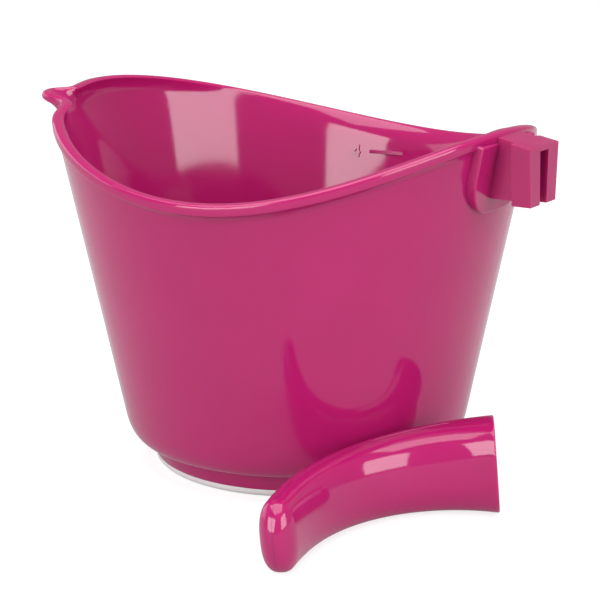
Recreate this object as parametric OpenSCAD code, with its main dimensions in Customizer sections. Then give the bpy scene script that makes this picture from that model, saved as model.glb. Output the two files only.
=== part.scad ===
// Hair colour bowl: a tapered mixing bowl with a wavy rim and a small spout, a
// non-slip ring under its foot, and a hollow curved handle that slides up onto
// a T rail on the bowl's side. The handle is drawn off the bowl, lying on its
// side on the table in front of it.
//
// +Z is up, +X points from the bowl's axis to the T rail, and the origin is on
// the axis at table height. Angles round the bowl are counted from +X.

/* [Bowl] */
// Outer radius of the lip
rim_r = 65; // [62:0.5:68]
// Radius the outer wall would have at table height
wall_foot_r = 44.8; // [43:0.1:46]
// Lean of the wall from upright, in degrees
wall_lean = 11.64; // [10.5:0.1:12.5]
// Thickness of the wall
wall_t = 2; // [1.6:0.1:2.4]
// Height of the inside floor
floor_z = 7.5; // [7:0.5:9]
// Radius between the inside floor and the wall
floor_fillet = 9; // [6:0.5:12]

/* [Rim] */
// Mean height of the rim
rim_mean_z = 91.3; // [88:0.1:94]
// Rise of the spout side over the rail side
rim_tip = 3.36; // [2:0.1:4]
// Height of the wave that lifts the rail and spout ends and drops both sides
rim_wave = 7.74; // [6:0.1:8.5]
// Extra lift that sharpens the two ends
rim_peak = 1.11; // [0:0.1:1.5]
// Height of the lip's upright outer face and its rolled top together
lip_h = 3; // [2.6:0.1:3.4]
// Height of the hollow under the lip
cove_h = 2.6; // [2:0.1:3]

/* [Spout] */
// Angle of the spout round the bowl from the rail
spout_angle = 205; // [200:1:210]
// How far the spout stands out past the rim
spout_reach = 5.2; // [4:0.1:6]
// Half the angle that the spout takes up
spout_half_angle = 3.9; // [3.6:0.1:4.6]
// How far the rim pinches in on the spout's near side
spout_pinch = 1.9; // [0:0.1:2]

/* [Rail] */
// Distance from the bowl's axis to the rail's outer face
rail_x = 74.8; // [74:0.1:76]
// Length of the rail's head, outward
rail_head = 5.3; // [5:0.1:6]
// Width of the rail's head at its top
rail_w_top = 15.7; // [15:0.1:17]
// Width of the rail's head at its bottom
rail_w_bottom = 13.7; // [13:0.1:14.5]
// Height of the rail's bottom over the table
rail_bottom_z = 78.6; // [78:0.1:80]
// Height of the rail's top at its outer face
rail_top_z = 93.9; // [93:0.1:95]
// Width of the slot at its top
slot_w_top = 4.55; // [4:0.05:5]
// Width of the slot at its bottom
slot_w_bottom = 3.6; // [3:0.1:4]

/* [Handle] */
// Length of the handle along its centre line
handle_l = 83.5; // [78:0.5:90]
// Bend radius at the bowl end, where the bend is tightest
bend_r = 39.3; // [37:0.1:42]
// Width across the open end
end_w = 24.8; // [24:0.1:26]
// Width near the nose
nose_w = 17.9; // [17:0.1:19]
// Thickness at the open end
end_d = 18.5; // [18:0.1:19.5]
// Thickness near the nose
nose_d = 8.9; // [8.5:0.1:11]
// Thickness of the handle's shells
shell_t = 2; // [1.6:0.1:2.2]

/* [Handle on the table] */
// Place of the open end's centre, out from the axis
rest_x = 69.4; // [68:0.5:80]
// Place of the open end's centre, sideways
rest_y = -11.6; // [-20:0.5:-11]
// Turn of the handle about the vertical, in degrees
rest_turn = 198.1; // [190:1:205]

/* [Hidden] */
magenta = "#C8377F";
eps = 0.01;

// Foot and ring
belly_z = 7.05;
belly_rise = 7;
belly_run = 3.6;
foot_r = 39.7;
foot_bottom_z = 2.05;
floor_under_z = 5.2;
floor_disc_r = 33;
groove_r1 = 35.2;
groove_r2 = 37.4;
groove_depth = 1.9;
ring_inner_r = 33.6;
ring_bottom_r = 38.3;
ring_clear = 0.06;
foot_round = 0.6;
foot_draft = 0.2;

// Wall and rim
wall_slope = tan(wall_lean);
wall_across = wall_t / cos(wall_lean);
crest_in = 1.8;
crest_r = rim_r - crest_in;
lip_edge = 0.45;
lip_round = 1.1;
lip_draft = 0.1;
crest_w = 1.3;
crest_fall = 0.7;
throat_depth = 9;
flare_depth = 3;
cove_fill = 0.25;
cove_tuck = 0.2;
wave_turn = 2.65;
peak_turn = -10;
low_side_turn = 190;

// Spout
spout_zone = 26;
waist_turn = 8.5;
waist_spread = 5;
far_pinch_share = 0.2;
spout_lift = 0.4;
lip_thinning = 1.1;

// Measuring scale on the inside wall
scale_angle = 96;
scale_step_z = 15;
scale_marks = 4;
scale_top_z = 75;
scale_raise = 0.35;
mark_h = 1.1;
mark_long = 11;
mark_short = 6;

// Pad and rail
pad_w = 28;
pad_r = 10;
pad_top_z = 94;
pad_bottom_z = 75.2;
pad_raise = 1.1;
pad_t = 3;
rail_top_slope = 0.19;
neck_share = 0.74;
neck_lift = 1;
slot_back_x = 65.6;
slot_top_z = 92.2;

// Handle
nose_dome = 6.4;
nose_flat = 0.15;
width_fall = 2.3;
depth_fall = 1.4;
roundness = 2.6;
cut_blend = 18;
stations = 30;
ring_points = 36;
seat_z = 85.4;
seat_x = wall_r(seat_z) + pad_raise / cos(wall_lean);
socket_gap = 0.3;
socket_end = rail_x - seat_x + socket_gap;
web_t = 2.2;
weld_gap = 0.04;
rest_pitch = 4.81;
rest_roll = 90.6;
rest_z = 12.37;

// ---------- Shape functions ----------

// Outer radius of the wall at a height
function wall_r(z) = wall_foot_r + z * wall_slope;

// Signed angle from the spout, -180 to 180
function from_spout(a) = (a - spout_angle + 540) % 360 - 180;

// Share of the spout's reach at an angle: 1 on its centre line, 0 well away
function spout_share(a) = exp(-pow(abs(from_spout(a)) / spout_half_angle, 3));

// Pinch beside the spout, from 0 to 1; side 1 is its near side, -1 its far side
function waist(a, side) = exp(-pow((from_spout(a) - side * waist_turn) / waist_spread, 2));

// Height of the rim's crest at an angle
function crest_z(a) =
    rim_mean_z
    + rim_tip * cos(a - low_side_turn)
    + rim_wave * cos(2 * (a - wave_turn))
    + rim_peak * cos(3 * (a - peak_turn))
    + spout_lift * spout_share(a);

// How far the rim moves out at an angle
function rim_shift(a) =
    spout_reach * spout_share(a)
    - spout_pinch * (waist(a, 1) + far_pinch_share * waist(a, -1));

// Angles of the bowl's sections: close together at the spout, wider elsewhere
spout_step = 1.04;
plain_step = 4.4;
section_angles = [
    for (a = [-spout_zone : spout_step : spout_zone - eps]) spout_angle + a,
    for (a = [spout_zone : plain_step : 360 - spout_zone - eps]) spout_angle + a
];

// A quarter-round from p to q that leaves p along the corner c
function corner(p, c, q, n) = [
    for (i = [1 : n - 1])
        let (t = i / n) (1 - t) * (1 - t) * p + 2 * t * (1 - t) * c + t * t * q
];

// The bowl's section at an angle, as radius and height, from the inside floor
// over the rim and back under the foot
function section(a) =
    let (
        top = crest_z(a),
        out = rim_shift(a),
        lip = lip_h - lip_thinning * spout_share(a),
        inner_foot = wall_r(floor_z) - wall_across,
        fillet_top = [
            wall_r(floor_z + floor_fillet) - wall_across,
            floor_z + floor_fillet
        ],
        fillet_start = [inner_foot - floor_fillet, floor_z],
        throat_z = top - throat_depth,
        throat = [wall_r(throat_z) - wall_across, throat_z],
        lip_top = [crest_r + out, top],
        lip_out = [rim_r + out, top - lip_round],
        lip_low = [rim_r + out - lip_draft, top - lip + lip_edge],
        lip_under = [rim_r + out - lip_edge, top - lip],
        cove_z = top - lip_h - cove_h,
        cove_foot = [wall_r(cove_z), cove_z],
        belly_top = [wall_r(belly_z + belly_rise), belly_z + belly_rise],
        belly_end = [wall_r(belly_z) - belly_run, belly_z],
        cove_corner = [
            wall_r(cove_z) + cove_fill + max(0, out) / 2,
            top - lip - cove_tuck - spout_share(a)
        ],
        flare = [wall_r(top - flare_depth) - wall_across, top - flare_depth],
        crest_start = [lip_top[0] - crest_w, lip_top[1] - crest_fall]
    )
    concat(
        [[floor_disc_r - 1, floor_z], fillet_start],
        corner(fillet_start, [inner_foot, floor_z], fillet_top, 4),
        [fillet_top, throat],
        corner(throat, flare, crest_start, 3),
        [crest_start, lip_top],
        corner(lip_top, [rim_r + out, top], lip_out, 3),
        [lip_out, lip_low, lip_under],
        corner(lip_under, cove_corner, cove_foot, 3),
        [cove_foot, belly_top],
        corner(belly_top, [wall_r(belly_z), belly_z], belly_end, 5),
        [
            belly_end,
            [foot_r + foot_round, belly_z - foot_round],
            [foot_r, belly_z - 2 * foot_round],
            [foot_r - foot_draft, foot_bottom_z],
            [groove_r2, foot_bottom_z],
            [groove_r2, foot_bottom_z + groove_depth],
            [groove_r1, foot_bottom_z + groove_depth],
            [groove_r1, foot_bottom_z],
            [ring_inner_r, foot_bottom_z],
            [ring_inner_r - foot_draft, floor_under_z],
            [floor_disc_r - 1, floor_under_z]
        ]
    );

// A closed skin through sections that run round in a full circle
module revolved_skin(angles) {
    rows = [for (a = angles) [for (p = section(a)) [p[0] * cos(a), p[0] * sin(a), p[1]]]];
    m = len(rows);
    n = len(rows[0]);
    faces = [
        for (i = [0 : m - 1], j = [0 : n - 1])
            let (i2 = (i + 1) % m, j2 = (j + 1) % n)
                each [
                    [i * n + j, i2 * n + j, i2 * n + j2],
                    [i * n + j, i2 * n + j2, i * n + j2]
                ]
    ];
    polyhedron([for (r = rows) each r], faces, convexity = 8);
}

// ---------- Bowl ----------

// Upright outline, wider at its top, symmetric about y = 0
module upright_outline(w_top, w_bottom, z1, z2) {
    polygon([
        [-w_bottom / 2, z1],
        [w_bottom / 2, z1],
        [w_top / 2, z2],
        [-w_top / 2, z2]
    ]);
}

// Stands an outline drawn in y and z between two distances from the axis
module along_x(x1, x2) {
    translate([x1, 0, 0])
        rotate([90, 0, 90])
            linear_extrude(x2 - x1) children();
}

// Side outline of the rail: it starts inside the leaning wall and its top slopes
// down towards its outer face
module rail_side_outline() {
    back_top_z = rail_top_z + rail_top_slope * (rail_x - wall_r(rail_top_z));
    rotate([90, 0, 0])
        linear_extrude(2 * rail_w_top, center = true)
            polygon([
                [wall_r(rail_bottom_z) - wall_t / 2, rail_bottom_z],
                [rail_x, rail_bottom_z],
                [rail_x, rail_top_z],
                [wall_r(back_top_z) - wall_t / 2, back_top_z]
            ]);
}

// Width of the rail at a height
function rail_w(z) =
    rail_w_bottom
    + (rail_w_top - rail_w_bottom) * (z - rail_bottom_z) / (rail_top_z - rail_bottom_z);

// T rail: a wedge-shaped head on a narrower neck, split by a slot from below
module t_rail() {
    tall = rail_top_z + 4;
    neck_bottom = rail_bottom_z + neck_lift;
    difference() {
        intersection() {
            union() {
                along_x(rail_x - rail_head, rail_x)
                    upright_outline(rail_w(tall), rail_w_bottom, rail_bottom_z, tall);
                along_x(wall_r(neck_bottom) - wall_t, rail_x - rail_head + eps)
                    upright_outline(
                        neck_share * rail_w(tall),
                        neck_share * rail_w_bottom,
                        neck_bottom,
                        tall
                    );
            }
            rail_side_outline();
        }
        along_x(slot_back_x, rail_x + 1)
            upright_outline(slot_w_top, slot_w_bottom, rail_bottom_z - 1, slot_top_z);
    }
}

// Flat pad that the handle's end sits against, with a rounded lower end
module pad() {
    up = pad_top_z - seat_z;
    down = seat_z - pad_bottom_z;
    translate([seat_x, 0, seat_z])
        rotate([0, wall_lean, 0])
            translate([-pad_t, 0, 0])
                rotate([90, 0, 90])
                    linear_extrude(pad_t) {
                        translate([-pad_w / 2, pad_r - down])
                            square([pad_w, up + down - pad_r]);
                        translate([pad_r - pad_w / 2, -down])
                            square([pad_w - 2 * pad_r, pad_r + eps]);
                        for (side = [-1, 1])
                            translate([side * (pad_w / 2 - pad_r), pad_r - down])
                                circle(pad_r, $fn = 48);
                    }
}

// Raised level marks on the inside wall, long and short by turns
module scale_bars() {
    for (i = [0 : scale_marks - 1]) {
        z = scale_top_z - i * scale_step_z;
        w = i % 2 == 0 ? mark_long : mark_short;
        rotate([0, 0, scale_angle])
            translate([wall_r(z) - wall_across - scale_raise, -w / 2, z])
                rotate([0, wall_lean, 0])
                    cube([wall_t * 0.6 + scale_raise, w, mark_h]);
    }
}

module bowl() {
    color(magenta) {
        revolved_skin(section_angles);
        translate([0, 0, floor_under_z])
            cylinder(h = floor_z - floor_under_z, r = floor_disc_r, $fn = 96);
        pad();
        t_rail();
        scale_bars();
    }
}

// ---------- Ring ----------

// White ring: a tread under the foot and a rib pressed up into the foot's groove
module non_slip_ring() {
    rib_top = foot_bottom_z + groove_depth - ring_clear;
    color("white")
        rotate_extrude($fn = 180)
            polygon([
                [ring_inner_r + 0.4, 0],
                [ring_bottom_r, 0],
                [foot_r - 0.4, 0.5],
                [foot_r - 0.2, foot_bottom_z],
                [groove_r2 - ring_clear, foot_bottom_z],
                [groove_r2 - ring_clear, rib_top],
                [groove_r1 + ring_clear, rib_top],
                [groove_r1 + ring_clear, foot_bottom_z],
                [ring_inner_r, foot_bottom_z]
            ]);
}

// ---------- Handle ----------
// In its own frame the open end's centre is at the origin, the handle leaves
// the bowl along +X and bends down towards -Z, and Y runs across its width.

function along(i) = handle_l * (1 - pow(1 - i / stations, 1.6));
function heading(s) =
    -(s - pow(s, 4) / (4 * pow(handle_l, 3))) / bend_r * 180 / PI;
spine_steps = 120;
spine_ds = handle_l / spine_steps;
spine = [
    for (
        i = 0, p = [0, 0];
        i <= spine_steps;
        p = p + spine_ds * [cos(heading((i + 0.5) * spine_ds)), sin(heading((i + 0.5) * spine_ds))],
        i = i + 1
    ) p
];
// A point on the centre line, straight on beyond either end
function spine_at(s) =
    let (
        k = max(0, min(spine_steps - 1, floor(s / spine_ds))),
        f = s / spine_ds - k
    )
    spine[k] + f * (spine[k + 1] - spine[k]);

function handle_w(s) = nose_w + (end_w - nose_w) * pow(1 - s / handle_l, width_fall);
function handle_d(s) = nose_d + (end_d - nose_d) * pow(1 - s / handle_l, depth_fall);

// Size of the section in the nose's dome, from 1 down to 0 at the tip
function dome(s, length) =
    s <= length - nose_dome ? 1 : sqrt(max(0, 1 - pow((s - length + nose_dome) / nose_dome, 2.2)));

// Cosine and sine flattened into a soft rectangle
function soft(x) = sign(x) * pow(abs(x), 2 / roundness);

// Skin of the handle, inset evenly, between two places on its centre line
module horn(inset, s1, s2) {
    length = s2;
    n = ring_points;
    rows = [
        for (i = [0 : stations])
            let (
                s = s1 + (s2 - s1) * along(i) / handle_l,
                h = heading(min(s, handle_l)),
                at = spine_at(s),
                g = max(nose_flat, dome(s, length)),
                cut = s1 > 0 ? 0 : max(0, 1 - s / cut_blend) * wall_slope
            )
            [
                for (j = [0 : n - 1])
                    let (
                        t = 360 * j / n,
                        u = (handle_d(min(s, handle_l)) / 2 - inset) * g * soft(cos(t)),
                        v = (handle_w(min(s, handle_l)) / 2 - inset) * g * soft(sin(t))
                    )
                    [
                        at[0] + cut * u * cos(h) - u * sin(h),
                        v,
                        at[1] + cut * u * sin(h) + u * cos(h)
                    ]
            ]
    ];
    faces = concat(
        [[for (j = [n - 1 : -1 : 0]) j]],
        [[for (j = [0 : n - 1]) stations * n + j]],
        [
            for (i = [0 : stations - 1], j = [0 : n - 1])
                let (j2 = (j + 1) % n)
                    each [
                        [i * n + j, i * n + j2, (i + 1) * n + j2],
                        [i * n + j, (i + 1) * n + j2, (i + 1) * n + j]
                    ]
        ]
    );
    polyhedron([for (r = rows) each r], faces, convexity = 6);
}

// T-shaped socket for the rail, open at the handle's top
module rail_socket() {
    g = socket_gap;
    tall = end_d;
    low = rail_bottom_z - seat_z;
    head_back = rail_x - rail_head - seat_x;
    along_x(head_back - g, socket_end)
        upright_outline(
            rail_w(seat_z + tall) + 2 * g,
            rail_w_bottom + 2 * g,
            low - g,
            tall
        );
    along_x(-6, head_back)
        upright_outline(
            neck_share * rail_w(seat_z + tall) + 2 * g,
            neck_share * rail_w_bottom + 2 * g,
            low + neck_lift - g,
            tall
        );
}

// Middle rib that runs up into the rail's slot and stops on its closed top
module middle_rib() {
    g = socket_gap;
    along_x(slot_back_x - seat_x + g, socket_end - weld_gap)
        upright_outline(
            slot_w_top - 2 * g,
            slot_w_bottom - 2 * g,
            rail_bottom_z - seat_z - 3 * g,
            slot_top_z - seat_z - g
        );
}

// Hollow handle with its socket, before it is split into two shells
module whole_handle() {
    difference() {
        horn(0, 0, handle_l);
        intersection() {
            horn(shell_t, socket_end, handle_l - shell_t);
            translate([socket_end + web_t, -end_w, -handle_l])
                cube([handle_l, 2 * end_w, 2 * handle_l]);
        }
        rail_socket();
    }
}

// Everything on one side of the weld: side = 1 is above it, -1 below it
module weld_side(side) {
    far = 40;
    line = [for (i = [-4 : 2 : spine_steps + 4]) spine_at(i * spine_ds)];
    off = [
        for (i = [-4 : 2 : spine_steps + 4])
            let (h = heading(max(0, min(handle_l, i * spine_ds))))
                [-sin(h), cos(h)]
    ];
    last = len(line) - 1;
    rotate([90, 0, 0])
        linear_extrude(2 * end_w, center = true)
            polygon(concat(
                [for (i = [0 : last]) line[i] + side * weld_gap / 2 * off[i]],
                side > 0
                    ? [line[last] + [far, 0], [far + 30, far], [-far, far], [-far, 0]]
                    : [line[last] - [0, far], [-far, -2 * far], [-far, 0]]
            ));
}

// Lays a handle piece on the table in front of the bowl
module on_table() {
    translate([rest_x, rest_y, rest_z])
        rotate([0, 0, rest_turn])
            rotate([0, rest_pitch, 0])
                rotate([rest_roll, 0, 0])
                    children();
}

module handle_top_shell() {
    color(magenta)
        on_table()
            intersection() {
                whole_handle();
                weld_side(1);
            }
}

module handle_bottom_shell() {
    color(magenta)
        on_table() {
            intersection() {
                whole_handle();
                weld_side(-1);
            }
            middle_rib();
        }
}

bowl();
non_slip_ring();
handle_top_shell();
handle_bottom_shell();
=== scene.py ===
"""Looks of the hair colour bowl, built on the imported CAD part.

Lengths are in millimetres until a mesh is made, and angles in degrees. Angles round the bowl are
counted from +X, where the T rail is.
"""

import math

import bmesh
import bpy
from mathutils import Matrix, Vector


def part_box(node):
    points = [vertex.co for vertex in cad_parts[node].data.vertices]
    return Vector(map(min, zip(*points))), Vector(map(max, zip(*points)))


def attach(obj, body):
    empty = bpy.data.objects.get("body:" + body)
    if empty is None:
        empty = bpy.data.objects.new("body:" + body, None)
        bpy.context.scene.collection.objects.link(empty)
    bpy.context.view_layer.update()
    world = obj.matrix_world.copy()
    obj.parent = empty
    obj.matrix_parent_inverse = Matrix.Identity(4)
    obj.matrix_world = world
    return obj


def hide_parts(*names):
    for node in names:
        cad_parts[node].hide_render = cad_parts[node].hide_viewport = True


MM = 0.001

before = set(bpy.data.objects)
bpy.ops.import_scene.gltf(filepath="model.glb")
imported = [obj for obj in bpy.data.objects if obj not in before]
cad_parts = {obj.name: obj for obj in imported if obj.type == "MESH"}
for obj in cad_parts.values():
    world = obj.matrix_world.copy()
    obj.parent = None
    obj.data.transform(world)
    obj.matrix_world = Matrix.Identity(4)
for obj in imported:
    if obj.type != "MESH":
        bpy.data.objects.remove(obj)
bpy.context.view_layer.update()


def box_mm(node):
    """Lowest and highest corner of a CAD node, in millimetres."""
    low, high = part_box(node)
    return [v / MM for v in low], [v / MM for v in high]


BOWL_LOW, BOWL_HIGH = box_mm("bowl")
RING_LOW, RING_HIGH = box_mm("non_slip_ring")

# Wall and floor
WALL_FOOT_R = 44.8
WALL_LEAN = 11.64
WALL_SLOPE = math.tan(math.radians(WALL_LEAN))
WALL_T = 2.0
WALL_ACROSS = WALL_T / math.cos(math.radians(WALL_LEAN))
FLOOR_Z = 7.5
FLOOR_FILLET = 9.0
FLOOR_UNDER_Z = 5.2

# Rim
RIM_R = round(BOWL_HIGH[1], 0)
CREST_IN = 1.8
LIP_H = 3.0
COVE_H = 2.6
CREST_MEAN_Z = 91.3
CREST_TIP = (3.36, 190.0)
CREST_WAVE = (7.74, 2.65)
CREST_PEAK = (1.11, -10.0)
THROAT_DEPTH = 6.5
FLARE_DEPTH = 3.0
CREST_W = 1.3
CREST_FALL = 0.7
LIP_ROUND = 1.1
LIP_EDGE = 0.5
LIP_DRAFT = 0.05
COVE_FILL = 0.25
COVE_TUCK = 0.2

# Spout
SPOUT_ANGLE = 205.0
SPOUT_REACH = 5.2
SPOUT_HALF_ANGLE = 3.9
SPOUT_LIFT = 0.4
LIP_THINNING = 1.1
WAIST_TURN = 8.5
WAIST_SPREAD = 5.0
PINCH_NEAR = 1.9
PINCH_FAR = 0.4

# Foot and ring
BELLY_Z = 7.05
BELLY_RISE = 7.0
BELLY_RUN = 3.6
FOOT_R = 39.7
FOOT_Z = BOWL_LOW[2]
GROOVE_R = (35.2, 37.4)
GROOVE_DEPTH = 1.9
RING_R = (33.6, 38.3)
RING_CLEAR = 0.06

# Pad and rail
RAIL_X = BOWL_HIGH[0]
RAIL_HEAD = 5.3
RAIL_W_TOP = 15.7
RAIL_W_BOTTOM = 13.7
RAIL_BOTTOM_Z = 78.6
RAIL_TOP_Z = 93.9
RAIL_TOP_SLOPE = 0.19
RAIL_CROWN = 0.5
RAIL_EDGE = 0.25
NECK_SINK = 0.15
NECK_SHARE = 0.74
NECK_LIFT = 1.0
SLOT_W_TOP = 4.55
SLOT_W_BOTTOM = 3.6
SLOT_BACK_X = 65.6
SLOT_TOP_Z = 92.2
PAD_W = 28.0
PAD_R = 10.0
PAD_TOP_Z = 94.0
PAD_BOTTOM_Z = 75.2
PAD_RAISE = 1.1
PAD_DEPTH = 3.0
PAD_EDGE = 0.5

# Handle
HANDLE_L = 83.5
BEND_R = 39.3
END_W = 24.8
NOSE_W = 17.9
END_D = 18.5
NOSE_D = 8.9
NOSE_DOME = 6.4
WIDTH_FALL = 2.3
DEPTH_FALL = 1.4
ROUNDNESS = 2.6
SHELL_T = 2.0
CUT_BLEND = 18.0
SEAT_Z = 85.4
SOCKET_GAP = 0.3
WEB_T = 2.2
SEAM_HALF = 0.02
SEAM_DEPTH = 0.25
SEAM_SPREAD = 1.1
OPEN_EDGE = 0.5
REST = (69.4, -11.6, 12.37)
REST_TURN = 198.1
REST_PITCH = 4.81
REST_ROLL = 90.6
SLIVER_FACES = 20

# Level marks and numbers
SCALE_ANGLE = 96.0
SCALE_TOP_Z = 75.0
SCALE_STEP_Z = 15.0
SCALE_MARKS = 4
MARK_LONG = 11.0
MARK_SHORT = 6.0
MARK_H = 1.1
MARK_RAISE = 0.35
MARK_EDGE = 0.12
NUMBER_TURN = 9.4
NUMBER_SIZE = 5.5
NUMBER_HALF_DEPTH = 0.45
NUMBER_OUT = 0.2
NUMBER_DROP = 1.4


# ---------- Small helpers ----------


def rad(angle):
    return math.radians(angle)


def quarter(p, corner, q, steps):
    """Points on a curve from p to q that leaves p towards the corner, both ends included."""
    out = []
    for i in range(steps + 1):
        t = i / steps
        a, b, c = (1 - t) ** 2, 2 * t * (1 - t), t * t
        out.append((a * p[0] + b * corner[0] + c * q[0], a * p[1] + b * corner[1] + c * q[1]))
    return out


def line(p, q, steps):
    """Evenly spaced points from p to q, both ends left out."""
    return [
        (p[0] + (q[0] - p[0]) * i / steps, p[1] + (q[1] - p[1]) * i / steps)
        for i in range(1, steps)
    ]


def new_object(name, bm, smooth_angle=None):
    """Turns a bmesh in millimetres into an object in metres."""
    bmesh.ops.scale(bm, vec=(MM, MM, MM), verts=bm.verts)
    bmesh.ops.recalc_face_normals(bm, faces=bm.faces)
    mesh = bpy.data.meshes.new(name)
    bm.to_mesh(mesh)
    bm.free()
    obj = bpy.data.objects.new(name, mesh)
    bpy.context.scene.collection.objects.link(obj)
    mesh.polygons.foreach_set("use_smooth", [True] * len(mesh.polygons))
    if smooth_angle is not None:
        mesh.set_sharp_from_angle(angle=rad(smooth_angle))
    return obj


def add_rows(bm, rows, closed_row=True, closed_ring=False):
    """Skins rows of points with quads and returns the rows of vertices."""
    verts = [[bm.verts.new(p) for p in row] for row in rows]
    n = len(rows[0])
    last_row = len(rows) if closed_ring else len(rows) - 1
    last_col = n if closed_row else n - 1
    for i in range(last_row):
        a, b = verts[i], verts[(i + 1) % len(rows)]
        for j in range(last_col):
            k = (j + 1) % n
            bm.faces.new((a[j], b[j], b[k], a[k]))
    return verts


# ---------- Bowl ----------


def wall_r(z):
    """Outer radius of the wall at a height."""
    return WALL_FOOT_R + z * WALL_SLOPE


def from_spout(angle):
    return (angle - SPOUT_ANGLE + 540) % 360 - 180


def spout_share(angle):
    """1 on the spout's centre line, 0 well away from it."""
    return math.exp(-((abs(from_spout(angle)) / SPOUT_HALF_ANGLE) ** 3))


def waist(angle, side):
    """How much the rim pinches in on one side of the spout, 0 to 1."""
    return math.exp(-(((from_spout(angle) - side * WAIST_TURN) / WAIST_SPREAD) ** 2))


def crest_z(angle):
    """Height of the rim's crest."""
    return (
        CREST_MEAN_Z
        + CREST_TIP[0] * math.cos(rad(angle - CREST_TIP[1]))
        + CREST_WAVE[0] * math.cos(rad(2 * (angle - CREST_WAVE[1])))
        + CREST_PEAK[0] * math.cos(rad(3 * (angle - CREST_PEAK[1])))
        + SPOUT_LIFT * spout_share(angle)
    )


def rim_shift(angle):
    """How far the rim stands out from its plain circle."""
    pinch = PINCH_NEAR * waist(angle, 1) + PINCH_FAR * waist(angle, -1)
    return SPOUT_REACH * spout_share(angle) - pinch


def bowl_section(angle):
    """Radius and height round the bowl's wall, from the inside floor over the rim to the foot."""
    top = crest_z(angle)
    out = rim_shift(angle)
    share = spout_share(angle)
    foot = (wall_r(FLOOR_Z) - WALL_ACROSS, FLOOR_Z)
    fillet_start = (foot[0] - FLOOR_FILLET, FLOOR_Z)
    fillet_z = FLOOR_Z + FLOOR_FILLET
    fillet_top = (wall_r(fillet_z) - WALL_ACROSS, fillet_z)
    throat_z = top - THROAT_DEPTH
    throat = (wall_r(throat_z) - WALL_ACROSS, throat_z)
    crest = (RIM_R - CREST_IN + out, top)
    lip_in = (crest[0] - CREST_W, top - CREST_FALL)
    flare_z = top - FLARE_DEPTH
    throat_corner = (wall_r(flare_z) - WALL_ACROSS + 0.3 * share, flare_z - 0.6 * share)
    lip_out = (RIM_R + out, top - LIP_ROUND)
    lip_h = LIP_H - LIP_THINNING * share
    lip_low = (RIM_R + out - LIP_DRAFT, top - lip_h + LIP_EDGE)
    lip_under = (lip_low[0] - LIP_EDGE, top - lip_h)
    cove_z = top - LIP_H - COVE_H
    cove_foot = (wall_r(cove_z), cove_z)
    cove_corner = (
        wall_r(cove_z) + COVE_FILL + 0.5 * max(0.0, out),
        top - lip_h - COVE_TUCK - 0.9 * share,
    )
    belly = (wall_r(BELLY_Z + BELLY_RISE), BELLY_Z + BELLY_RISE)
    belly_in = (wall_r(BELLY_Z) - BELLY_RUN, BELLY_Z)
    step_in = (FOOT_R + 0.7, BELLY_Z - 0.3)
    points = quarter(fillet_start, foot, fillet_top, 10)
    points += line(fillet_top, throat, 14)
    points += quarter(throat, throat_corner, lip_in, 8)
    points += quarter(lip_in, (crest[0] - 0.55, top), crest, 4)[1:]
    points += quarter(crest, (RIM_R + out, top), lip_out, 6)[1:]
    points += line(lip_out, lip_low, 2)
    points += quarter(lip_low, (lip_low[0], top - lip_h), lip_under, 3)
    points += quarter(lip_under, cove_corner, cove_foot, 8)[1:]
    points += line(cove_foot, belly, 16)
    points += quarter(belly, (wall_r(BELLY_Z), BELLY_Z), belly_in, 12)
    points += quarter(step_in, (FOOT_R, BELLY_Z - 0.4), (FOOT_R, BELLY_Z - 1.2), 4)
    points += [(FOOT_R - 0.15, FOOT_Z + 0.3), (FOOT_R - 0.4, FOOT_Z)]
    return points


def bowl_angles():
    """Angles of the bowl's sections, close together at the spout."""
    zone = 28.0
    fine = [SPOUT_ANGLE - zone + 0.35 * i for i in range(160)]
    coarse_count = 300
    coarse = [
        SPOUT_ANGLE + zone + (360 - 2 * zone) * i / coarse_count for i in range(coarse_count)
    ]
    return fine + coarse


def bowl_underside():
    """Radius and height from the foot's outer edge, through the ring's groove, to the floor."""
    r1, r2 = GROOVE_R
    top = FOOT_Z + GROOVE_DEPTH
    return [
        (r2, FOOT_Z),
        (r2, top),
        (r1, top),
        (r1, FOOT_Z),
        (RING_R[0], FOOT_Z),
        (RING_R[0] - 0.3, FLOOR_UNDER_Z - 0.3),
        (RING_R[0] - 0.7, FLOOR_UNDER_Z),
        (RING_R[0] - 3.0, FLOOR_UNDER_Z),
        (12.0, FLOOR_UNDER_Z),
    ]


def on_circle(r, z, angle):
    return (r * math.cos(rad(angle)), r * math.sin(rad(angle)), z)


def build_bowl_wall():
    """The bowl's moulding without its pad, rail and marks."""
    bm = bmesh.new()
    rows = []
    for angle in bowl_angles():
        profile = [(14.0, FLOOR_Z)] + bowl_section(angle) + bowl_underside()
        rows.append([on_circle(r, z, angle) for r, z in profile])
    verts = add_rows(bm, rows, closed_row=False, closed_ring=True)
    for column, z in ((0, FLOOR_Z), (-1, FLOOR_UNDER_Z)):
        centre = bm.verts.new((0, 0, z))
        for i, row in enumerate(verts):
            bm.faces.new((centre, row[column], verts[(i + 1) % len(verts)][column]))
    return new_object("bowl_wall", bm, 38)


def prism_x(bm, x1, outline1, x2, outline2):
    """A solid between two outlines of (y, z) points that stand at x1 and x2."""
    a = [bm.verts.new((x1, y, z)) for y, z in outline1]
    b = [bm.verts.new((x2, y, z)) for y, z in outline2]
    bm.faces.new(a)
    bm.faces.new(list(reversed(b)))
    for i in range(len(a)):
        j = (i + 1) % len(a)
        bm.faces.new((a[j], a[i], b[i], b[j]))


def rail_w(z):
    """Width of the rail's head at a height."""
    share = (z - RAIL_BOTTOM_Z) / (RAIL_TOP_Z - RAIL_BOTTOM_Z)
    return RAIL_W_BOTTOM + (RAIL_W_TOP - RAIL_W_BOTTOM) * share


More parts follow.
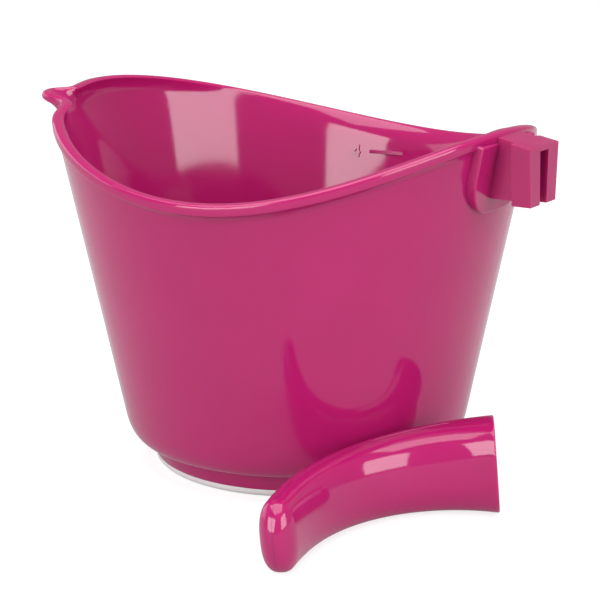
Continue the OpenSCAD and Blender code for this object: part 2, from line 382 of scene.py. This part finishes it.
def rail_outline(x, width_share, bottom_z):
    """Outline of the rail at a distance from the axis, with its crowned top."""
    top = RAIL_TOP_Z + RAIL_TOP_SLOPE * (RAIL_X - x)
    half_top = width_share * rail_w(top) / 2
    half_bottom = width_share * RAIL_W_BOTTOM / 2
    points = []
    crown_steps = 8
    for i in range(crown_steps + 1):
        t = 1 - 2 * i / crown_steps
        points.append((half_top * t, top - RAIL_CROWN * (width_share * t) ** 2))
    points.append((-half_bottom, bottom_z))
    points.append((half_bottom, bottom_z))
    return points


def round_edges(obj, width):
    """Rounds the edges of a crisp solid, as a mould does."""
    bevel = obj.modifiers.new("rounded_edges", "BEVEL")
    bevel.width = width * MM
    bevel.segments = 3
    bevel.limit_method = "ANGLE"
    bevel.angle_limit = rad(40)
    bevel.harden_normals = True


def rail_prism(x1, x2, width_share, bottom_z, sink):
    """A stretch of the rail between two distances from the axis, its top sunk a little."""
    bm = bmesh.new()
    ends = []
    for x in (x1, x2):
        outline = rail_outline(x, width_share, bottom_z)
        ends.append([(y, z - sink if z > SEAT_Z else z) for y, z in outline])
    prism_x(bm, x1, ends[0], x2, ends[1])
    return bm


def build_rail():
    """T rail: a wedge-shaped head on a narrower neck, split by a slot from below."""
    head_back = RAIL_X - RAIL_HEAD
    neck_z = RAIL_BOTTOM_Z + NECK_LIFT
    rail = new_object("t_rail", rail_prism(head_back, RAIL_X, 1, RAIL_BOTTOM_Z, 0))
    root_x = wall_r(neck_z) + 0.2
    cut(rail, rail_prism(root_x, head_back + 1, NECK_SHARE, neck_z, NECK_SINK), "UNION")
    slot_bm = bmesh.new()
    slot_end = [
        (SLOT_W_TOP / 2, SLOT_TOP_Z),
        (-SLOT_W_TOP / 2, SLOT_TOP_Z),
        (-SLOT_W_BOTTOM / 2, RAIL_BOTTOM_Z - 0.01),
        (SLOT_W_BOTTOM / 2, RAIL_BOTTOM_Z - 0.01),
    ]
    prism_x(slot_bm, SLOT_BACK_X, slot_end, RAIL_X + 1, slot_end)
    cut(rail, slot_bm, "DIFFERENCE")
    mesh = rail.data
    mesh.polygons.foreach_set("use_smooth", [True] * len(mesh.polygons))
    mesh.set_sharp_from_angle(angle=rad(30))
    round_edges(rail, RAIL_EDGE)
    return rail


def build_pad():
    """Flat boss behind the rail, square at its top and round at its lower corners."""
    bm = bmesh.new()
    up = PAD_TOP_Z - SEAT_Z
    down = SEAT_Z - PAD_BOTTOM_Z
    half = PAD_W / 2
    outline = [(half, up), (-half, up)]
    corner_steps = 16
    for side, start in ((-1, 180), (1, 270)):
        for i in range(corner_steps + 1):
            a = start + 90 * i / corner_steps
            y = side * (half - PAD_R) + PAD_R * math.cos(rad(a))
            z = PAD_R - down + PAD_R * math.sin(rad(a))
            outline.append((y, z))
    prism_x(bm, -PAD_DEPTH, outline, 0, outline)
    lean = Matrix.Rotation(rad(WALL_LEAN), 4, "Y")
    bmesh.ops.transform(bm, matrix=Matrix.Translation((SEAT_X, 0, SEAT_Z)) @ lean, verts=bm.verts)
    pad = new_object("rail_pad", bm, 30)
    round_edges(pad, PAD_EDGE)
    return pad


# ---------- Ring ----------


def build_ring():
    """White ring: a rounded tread under the foot with a rib up in the foot's groove."""
    top = RING_HIGH[2]
    inner, tread = RING_R
    outer = RING_HIGH[1]
    profile = [(inner + 0.7, 0.05), (inner + 1.1, 0.0)]
    profile += [(tread - 0.3, 0.0), (tread + 0.1, 0.08), (tread + 0.5, 0.3), (outer - 0.1, 0.9)]
    profile += [(outer, 1.5), (outer - 0.05, FOOT_Z)]
    profile += [(GROOVE_R[1] - RING_CLEAR, FOOT_Z), (GROOVE_R[1] - RING_CLEAR, top)]
    profile += [(GROOVE_R[0] + RING_CLEAR, top), (GROOVE_R[0] + RING_CLEAR, FOOT_Z)]
    profile += [(inner, FOOT_Z), (inner + 0.05, 1.0)]
    bm = bmesh.new()
    count = 360
    rows = [[on_circle(r, z, 360 * i / count) for r, z in profile] for i in range(count)]
    add_rows(bm, rows, closed_row=True, closed_ring=True)
    return new_object("non_slip_ring_tread", bm, 40)


# ---------- Handle ----------
# In its own frame the open end's centre is at the origin, the handle leaves the bowl along +X and
# bends down towards -Z, and Y runs across its width.


def heading(s):
    """Direction of the centre line in the XZ plane, in radians."""
    s = min(max(s, 0.0), HANDLE_L)
    return -(s - s**4 / (4 * HANDLE_L**3)) / BEND_R


def make_spine(steps):
    """Points along the centre line."""
    ds = HANDLE_L / steps
    x = z = 0.0
    points = [(0.0, 0.0)]
    for i in range(steps):
        a = heading((i + 0.5) * ds)
        x += ds * math.cos(a)
        z += ds * math.sin(a)
        points.append((x, z))
    return points


SPINE_STEPS = 400
SPINE = make_spine(SPINE_STEPS)


def spine_at(s):
    """A point on the centre line, straight on beyond either end."""
    at = s / HANDLE_L * SPINE_STEPS
    k = min(max(int(math.floor(at)), 0), SPINE_STEPS - 1)
    f = at - k
    a, b = SPINE[k], SPINE[k + 1]
    return a[0] + f * (b[0] - a[0]), a[1] + f * (b[1] - a[1])


def handle_w(s):
    rest = max(0.0, 1 - s / HANDLE_L)
    return NOSE_W + (END_W - NOSE_W) * rest**WIDTH_FALL


def handle_d(s):
    rest = max(0.0, 1 - s / HANDLE_L)
    return NOSE_D + (END_D - NOSE_D) * rest**DEPTH_FALL


def dome(s, length):
    """Size of the section in the nose's dome, from 1 down to 0 at the tip."""
    if s <= length - NOSE_DOME:
        return 1.0
    q = min(1.0, (s - length + NOSE_DOME) / NOSE_DOME)
    return math.sqrt(max(0.0, 1 - q**2.2))


def soft(value):
    """A cosine or sine flattened into a soft rectangle."""
    return math.copysign(abs(value) ** (2 / ROUNDNESS), value)


def horn_row(s, inset, length, tilt, ring_points):
    """One closed section of the handle's skin."""
    a = heading(s)
    x, z = spine_at(s)
    size = max(0.012, dome(s, length))
    slant = max(0.0, 1 - s / CUT_BLEND) * WALL_SLOPE if tilt else 0.0
    half_d = (handle_d(s) / 2 - inset) * size
    half_w = (handle_w(s) / 2 - inset) * size
    row = []
    for j in range(ring_points):
        t = 2 * math.pi * j / ring_points
        u = half_d * soft(math.cos(t))
        v = half_w * soft(math.sin(t))
        row.append((
            x + slant * u * math.cos(a) - u * math.sin(a),
            v,
            z + slant * u * math.sin(a) + u * math.cos(a),
        ))
    return row


def horn_mesh(inset, start, length, tilt, edge_round):
    """Closed skin of the handle; edge_round rounds the edge of its open end."""
    ring_points = 96
    stations = []
    if edge_round:
        for i in range(5):
            t = i / 4
            stations.append((start + edge_round * (1 - math.cos(t * math.pi / 2)),
                             inset + edge_round * (1 - math.sin(t * math.pi / 2))))
    else:
        stations.append((start, inset))
    body_end = length - NOSE_DOME
    body_steps = 80
    first = stations[-1][0]
    for i in range(1, body_steps + 1):
        stations.append((first + (body_end - first) * i / body_steps, inset))
    dome_steps = 26
    for i in range(1, dome_steps + 1):
        q = math.sin(math.pi / 2 * i / dome_steps)
        stations.append((body_end + NOSE_DOME * q, inset))
    bm = bmesh.new()
    rows = [horn_row(s, shrink, length, tilt, ring_points) for s, shrink in stations]
    verts = add_rows(bm, rows)
    bm.faces.new(list(reversed(verts[0])))
    bm.faces.new(verts[-1])
    return bm


def add_box(bm, low, high):
    outline = [(high[1], high[2]), (low[1], high[2]), (low[1], low[2]), (high[1], low[2])]
    prism_x(bm, low[0], outline, high[0], outline)


def socket_outline(share, bottom_z, top_z):
    """Outline of a part of the rail's socket, in the handle's own frame."""
    half_top = share * rail_w(SEAT_Z + top_z) / 2 + SOCKET_GAP
    half_bottom = share * RAIL_W_BOTTOM / 2 + SOCKET_GAP
    return [(half_top, top_z), (-half_top, top_z), (-half_bottom, bottom_z), (half_bottom, bottom_z)]


SEAT_X = wall_r(SEAT_Z) + PAD_RAISE / math.cos(rad(WALL_LEAN))
SOCKET_END = RAIL_X - SEAT_X + SOCKET_GAP


def socket_mesh():
    """T-shaped cutter that leaves room for the rail, open at the handle's top."""
    bm = bmesh.new()
    low = RAIL_BOTTOM_Z - SEAT_Z
    head_back = RAIL_X - RAIL_HEAD - SEAT_X
    head = socket_outline(1, low - SOCKET_GAP, END_D)
    prism_x(bm, head_back - SOCKET_GAP, head, SOCKET_END, head)
    return bm


def neck_cut_mesh():
    """Cutter for the neck's way through the handle's end."""
    bm = bmesh.new()
    low = RAIL_BOTTOM_Z - SEAT_Z
    head_back = RAIL_X - RAIL_HEAD - SEAT_X
    neck = socket_outline(NECK_SHARE, low + NECK_LIFT - SOCKET_GAP, END_D)
    prism_x(bm, -6, neck, head_back, neck)
    return bm


def weld_side_mesh(side):
    """Everything on one side of the seam: side 1 is above it, -1 below it."""
    far = 40.0
    points = []
    steps = 200
    for i in range(-6, steps + 7):
        s = HANDLE_L * i / steps
        a = heading(s)
        x, z = spine_at(s)
        off = side * SEAM_HALF
        points.append((x - off * math.sin(a), z + off * math.cos(a)))
    x, z = points[-1]
    if side > 0:
        points += [(x + far, z), (x + far, far), (-far, far), (-far, points[0][1])]
    else:
        points += [(x, z - far), (-far, z - far), (-far, points[0][1])]
    bm = bmesh.new()
    a = [bm.verts.new((px, -END_W, pz)) for px, pz in points]
    b = [bm.verts.new((px, END_W, pz)) for px, pz in points]
    bm.faces.new(a)
    bm.faces.new(list(reversed(b)))
    for i in range(len(a)):
        j = (i + 1) % len(a)
        bm.faces.new((a[j], a[i], b[i], b[j]))
    return bm


def seam_groove_mesh(side):
    """V-shaped ridge along one side of the handle's seam, to cut the fine weld line."""
    steps = 60
    bm = bmesh.new()
    rows = []
    for i in range(steps + 1):
        s = SOCKET_END + (HANDLE_L - NOSE_DOME - SOCKET_END) * i / steps
        a = heading(s)
        x, z = spine_at(s)
        size = max(0.02, dome(s, HANDLE_L))
        reach = handle_w(s) / 2 * size
        row = []
        mouth = reach + 1
        for v, u in ((reach - SEAM_DEPTH, 0), (mouth, SEAM_SPREAD), (mouth, -SEAM_SPREAD)):
            row.append((x - u * math.sin(a), side * v, z + u * math.cos(a)))
        rows.append(row)
    verts = add_rows(bm, rows)
    bm.faces.new(list(reversed(verts[0])))
    bm.faces.new(verts[-1])
    return bm


def middle_rib_mesh():
    """Rib that runs up into the rail's slot and stops on its closed top."""
    bm = bmesh.new()
    half_top = SLOT_W_TOP / 2 - SOCKET_GAP
    half_bottom = SLOT_W_BOTTOM / 2 - SOCKET_GAP
    top = SLOT_TOP_Z - SEAT_Z - SOCKET_GAP
    low = RAIL_BOTTOM_Z - SEAT_Z - 3 * SOCKET_GAP
    outline = [(half_top, top), (-half_top, top), (-half_bottom, low), (half_bottom, low)]
    prism_x(bm, SLOT_BACK_X - SEAT_X + SOCKET_GAP, outline, SOCKET_END - 2 * SEAM_HALF, outline)
    return bm


def cut(obj, bm, operation):
    """Applies a boolean of obj with a mesh in millimetres, which is then thrown away."""
    tool = new_object("cutter", bm)
    step = obj.modifiers.new("cut", "BOOLEAN")
    step.operation = operation
    step.solver = "EXACT"
    step.object = tool
    bpy.context.view_layer.update()
    graph = bpy.context.evaluated_depsgraph_get()
    mesh = bpy.data.meshes.new_from_object(obj.evaluated_get(graph))
    obj.modifiers.clear()
    obj.data = mesh
    bpy.data.objects.remove(tool)


def rest_matrix():
    """Lays the handle on its side on the table, in front of the bowl."""
    turn = Matrix.Rotation(rad(REST_TURN), 4, "Z")
    pitch = Matrix.Rotation(rad(REST_PITCH), 4, "Y")
    roll = Matrix.Rotation(rad(REST_ROLL), 4, "X")
    place = Matrix.Translation([v * MM for v in REST])
    return place @ turn @ pitch @ roll


def drop_slivers(mesh):
    """Welds doubled points and deletes the tiny loose faces a boolean can leave behind."""
    bm = bmesh.new()
    bm.from_mesh(mesh)
    bmesh.ops.remove_doubles(bm, verts=bm.verts, dist=1e-7)
    left = set(bm.faces)
    slivers = []
    while left:
        island = [left.pop()]
        for face in island:
            near = {other for edge in face.edges for other in edge.link_faces} & left
            left -= near
            island.extend(near)
        if len(island) < SLIVER_FACES:
            slivers += island
    bmesh.ops.delete(bm, geom=slivers, context="FACES")
    bm.to_mesh(mesh)
    bm.free()


def build_handle():
    """The handle's two shells."""
    shells = []
    for name, side in (("handle_top", 1), ("handle_bottom", -1)):
        shell = new_object(name, horn_mesh(0, 0, HANDLE_L, True, OPEN_EDGE))
        inner = horn_mesh(SHELL_T, SOCKET_END + WEB_T + 2.5, HANDLE_L - SHELL_T, False, 0)
        cut(shell, inner, "DIFFERENCE")
        cut(shell, socket_mesh(), "DIFFERENCE")
        cut(shell, neck_cut_mesh(), "DIFFERENCE")
        cut(shell, seam_groove_mesh(1), "DIFFERENCE")
        cut(shell, seam_groove_mesh(-1), "DIFFERENCE")
        cut(shell, weld_side_mesh(side), "INTERSECT")
        if side < 0:
            cut(shell, middle_rib_mesh(), "UNION")
        mesh = shell.data
        drop_slivers(mesh)
        mesh.transform(rest_matrix())
        mesh.polygons.foreach_set("use_smooth", [True] * len(mesh.polygons))
        mesh.set_sharp_from_angle(angle=rad(32))
        mesh.update()
        shells.append(shell)
    return shells


# ---------- Marks inside the bowl ----------


def build_scale():
    """Raised level marks and their numbers on the inside wall."""
    bm = bmesh.new()
    places = []
    for i in range(SCALE_MARKS):
        z = SCALE_TOP_Z - i * SCALE_STEP_Z
        w = MARK_LONG if i % 2 == 0 else MARK_SHORT
        own = bmesh.new()
        add_box(own, (-MARK_RAISE, -w / 2, 0), (WALL_T / 2, w / 2, MARK_H))
        matrix = (
            Matrix.Rotation(rad(SCALE_ANGLE), 4, "Z")
            @ Matrix.Translation((wall_r(z) - WALL_ACROSS, 0, z))
            @ Matrix.Rotation(rad(WALL_LEAN), 4, "Y")
        )
        bmesh.ops.transform(own, matrix=matrix, verts=own.verts)
        mesh = bpy.data.meshes.new("mark")
        own.to_mesh(mesh)
        own.free()
        bm.from_mesh(mesh)
        bpy.data.meshes.remove(mesh)
        beside = Matrix.Rotation(rad(NUMBER_TURN), 4, "Z")
        places.append(beside @ matrix)
    marks = new_object("scale_marks", bm, 30)
    round_edges(marks, MARK_EDGE)
    return marks, build_numbers(places)


def build_numbers(places):
    """Raised numbers beside the level marks, counted from the lowest mark up."""
    bm = bmesh.new()
    for i, matrix in enumerate(places):
        curve = bpy.data.curves.new("number", "FONT")
        curve.body = str(len(places) - i)
        curve.size = NUMBER_SIZE
        curve.extrude = NUMBER_HALF_DEPTH
        curve.align_x = "CENTER"
        letter = bpy.data.objects.new("number", curve)
        bpy.context.scene.collection.objects.link(letter)
        bpy.context.view_layer.update()
        graph = bpy.context.evaluated_depsgraph_get()
        mesh = bpy.data.meshes.new_from_object(letter.evaluated_get(graph))
        bpy.data.objects.remove(letter)
        upright = Matrix((
            (0, 0, -1, -NUMBER_OUT),
            (-1, 0, 0, 0),
            (0, 1, 0, -NUMBER_DROP),
            (0, 0, 0, 1),
        ))
        mesh.transform(matrix @ upright)
        bm.from_mesh(mesh)
        bpy.data.meshes.remove(mesh)
    return new_object("scale_numbers", bm, 30)


# ---------- Materials ----------


def node_material(name):
    material = bpy.data.materials.new(name)
    material.use_nodes = True
    tree = material.node_tree
    return material, tree, tree.nodes["Principled BSDF"]


def noise(tree, size_mm, detail):
    """Noise whose features are about size_mm across, in the object's own space."""
    coords = tree.nodes.new("ShaderNodeTexCoord")
    texture = tree.nodes.new("ShaderNodeTexNoise")
    texture.inputs["Scale"].default_value = 1 / (size_mm * MM)
    texture.inputs["Detail"].default_value = detail
    tree.links.new(coords.outputs["Object"], texture.inputs["Vector"])
    return texture.outputs["Fac"]


def spread(tree, value, low, high):
    """Maps the middle of a noise to a range."""
    node = tree.nodes.new("ShaderNodeMapRange")
    node.interpolation_type = "SMOOTHSTEP"
    node.inputs["From Min"].default_value = 0.2
    node.inputs["From Max"].default_value = 0.8
    node.inputs["To Min"].default_value = low
    node.inputs["To Max"].default_value = high
    tree.links.new(value, node.inputs["Value"])
    return node.outputs["Result"]


def mix_colors(tree, factor, first, second):
    node = tree.nodes.new("ShaderNodeMix")
    node.data_type = "RGBA"
    node.inputs["A"].default_value = (*first, 1)
    node.inputs["B"].default_value = (*second, 1)
    tree.links.new(factor, node.inputs["Factor"])
    return node.outputs["Result"]


def bump(tree, height, distance_mm):
    node = tree.nodes.new("ShaderNodeBump")
    node.inputs["Distance"].default_value = distance_mm * MM
    node.inputs["Strength"].default_value = 1.0
    tree.links.new(height, node.inputs["Height"])
    return node.outputs["Normal"]


def plastic(name, color, roughness, peel_mm, peel_depth):
    """Pigmented moulded plastic: flow streaks, handling smudges and a faint orange peel."""
    material, tree, bsdf = node_material(name)
    streak = spread(tree, noise(tree, 14, 2), 0, 1)
    deeper = [c * 0.97 for c in color]
    lighter = [c * 1.01 for c in color]
    tree.links.new(mix_colors(tree, streak, deeper, lighter), bsdf.inputs["Base Color"])
    smudge = spread(tree, noise(tree, 6, 1), roughness * 0.85, roughness * 1.2)
    tree.links.new(smudge, bsdf.inputs["Roughness"])
    peel = bump(tree, noise(tree, peel_mm, 2), peel_depth)
    tree.links.new(peel, bsdf.inputs["Normal"])
    bsdf.inputs["IOR"].default_value = 1.49
    bsdf.inputs["Subsurface Weight"].default_value = 0.3
    bsdf.inputs["Subsurface Radius"].default_value = (1.0, 0.12, 0.4)
    bsdf.inputs["Subsurface Scale"].default_value = 5 * MM
    return material


def soft_rubber(name, color):
    """White ring: matt, with a fine mould grain."""
    material, tree, bsdf = node_material(name)
    shade = spread(tree, noise(tree, 5, 3), 0, 1)
    darker = [c * 0.95 for c in color]
    tree.links.new(mix_colors(tree, shade, darker, color), bsdf.inputs["Base Color"])
    tree.links.new(spread(tree, noise(tree, 2, 2), 0.42, 0.55), bsdf.inputs["Roughness"])
    tree.links.new(bump(tree, noise(tree, 0.35, 2), 0.02), bsdf.inputs["Normal"])
    return material


# ---------- Studio ----------


def softbox(name, place, target, size, power):
    light = bpy.data.lights.new(name, "AREA")
    light.shape = "RECTANGLE"
    light.size, light.size_y = size
    light.energy = power
    obj = bpy.data.objects.new(name, light)
    obj.location = place
    direction = Vector(target) - Vector(place)
    obj.rotation_euler = direction.to_track_quat("-Z", "Y").to_euler()
    bpy.context.scene.collection.objects.link(obj)


def brighter_for_camera(tree, to_object, to_camera):
    """A strength that is higher for the camera than for the light that reaches the object."""
    path = tree.nodes.new("ShaderNodeLightPath")
    level = tree.nodes.new("ShaderNodeMapRange")
    level.inputs["To Min"].default_value = to_object
    level.inputs["To Max"].default_value = to_camera
    tree.links.new(path.outputs["Is Camera Ray"], level.inputs["Value"])
    return level.outputs["Result"]


def build_floor():
    """Wide pale floor, just below the ring."""
    bm = bmesh.new()
    bmesh.ops.create_circle(bm, cap_ends=True, radius=6000, segments=64)
    floor = new_object("studio_floor", bm)
    floor.location.z = -0.0002
    material, tree, bsdf = node_material("studio_floor")
    bsdf.inputs["Base Color"].default_value = (0.32, 0.32, 0.32, 1)
    bsdf.inputs["Roughness"].default_value = 0.9
    bsdf.inputs["Emission Color"].default_value = (1, 1, 1, 1)
    glow = brighter_for_camera(tree, 0.25, 0.75)
    tree.links.new(glow, bsdf.inputs["Emission Strength"])
    floor.data.materials.append(material)


def build_world():
    """White surroundings."""
    world = bpy.data.worlds.new("studio")
    bpy.context.scene.world = world
    world.use_nodes = True
    tree = world.node_tree
    background = tree.nodes["Background"]
    background.inputs["Color"].default_value = (1, 1, 1, 1)
    tree.links.new(brighter_for_camera(tree, 0.36, 1.0), background.inputs["Strength"])


def build_lights():
    """One panel overhead and three upright ones round the object."""
    softbox("overhead", (0.1, -0.1, 1.3), (0, 0, 0), (1.4, 1.4), 21)
    panels = (
        ("right_panel", -3, 0.86, 12),
        ("left_panel", -92, 0.78, 12),
        ("back_panel", 190, 1.3, 5),
    )
    panel_r, panel_z, panel_h = 1.2, 0.45, 0.75
    aim = (0, 0, 0.05)
    for name, azimuth, width, power in panels:
        place = on_circle(panel_r, panel_z, azimuth)
        softbox(name, place, aim, (width, panel_h), power)


def build_camera():
    """Long lens, a little above the rim, looking across the handle."""
    side_turn, distance, height = 34.0, 0.4988, 0.1719
    pitch, yaw, roll = 14.44, 0.13, -0.36
    camera = bpy.data.cameras.new("camera")
    camera.sensor_width = 36
    camera.lens = 111.74
    obj = bpy.data.objects.new("camera", camera)
    turn = Matrix.Rotation(rad(side_turn), 4, "Z")
    look = (
        Matrix.Rotation(rad(-yaw), 4, "Z")
        @ Matrix.Rotation(rad(90 - pitch), 4, "X")
        @ Matrix.Rotation(rad(roll), 4, "Z")
    )
    obj.matrix_world = turn @ Matrix.Translation((0, -distance, height)) @ look
    bpy.context.scene.collection.objects.link(obj)
    bpy.context.scene.camera = obj


# ---------- Put together ----------

GLOSS_COLOR = (0.33, 0.007, 0.098)
SATIN_COLOR = (0.31, 0.007, 0.09)
glossy = plastic("magenta_gloss", GLOSS_COLOR, 0.09, 0.9, 0.0012)
satin = plastic("magenta_satin", SATIN_COLOR, 0.34, 0.8, 0.0012)
white = soft_rubber("white_rubber", (0.62, 0.58, 0.59))


def finish_piece(obj, body, node, material):
    obj.data.materials.clear()
    obj.data.materials.append(material)
    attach(obj, body)
    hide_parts(node)


marks, numbers = build_scale()
for piece, material in (
    (build_bowl_wall(), glossy),
    (build_pad(), glossy),
    (build_rail(), satin),
    (marks, glossy),
    (numbers, glossy),
):
    finish_piece(piece, "bowl", "bowl", material)
finish_piece(build_ring(), "bowl", "non_slip_ring", white)
for piece, node in zip(build_handle(), ("handle_top_shell", "handle_bottom_shell")):
    finish_piece(piece, "handle", node, glossy)

build_floor()
build_world()
build_lights()
build_camera()

bpy.context.scene.view_settings.view_transform = "Standard"
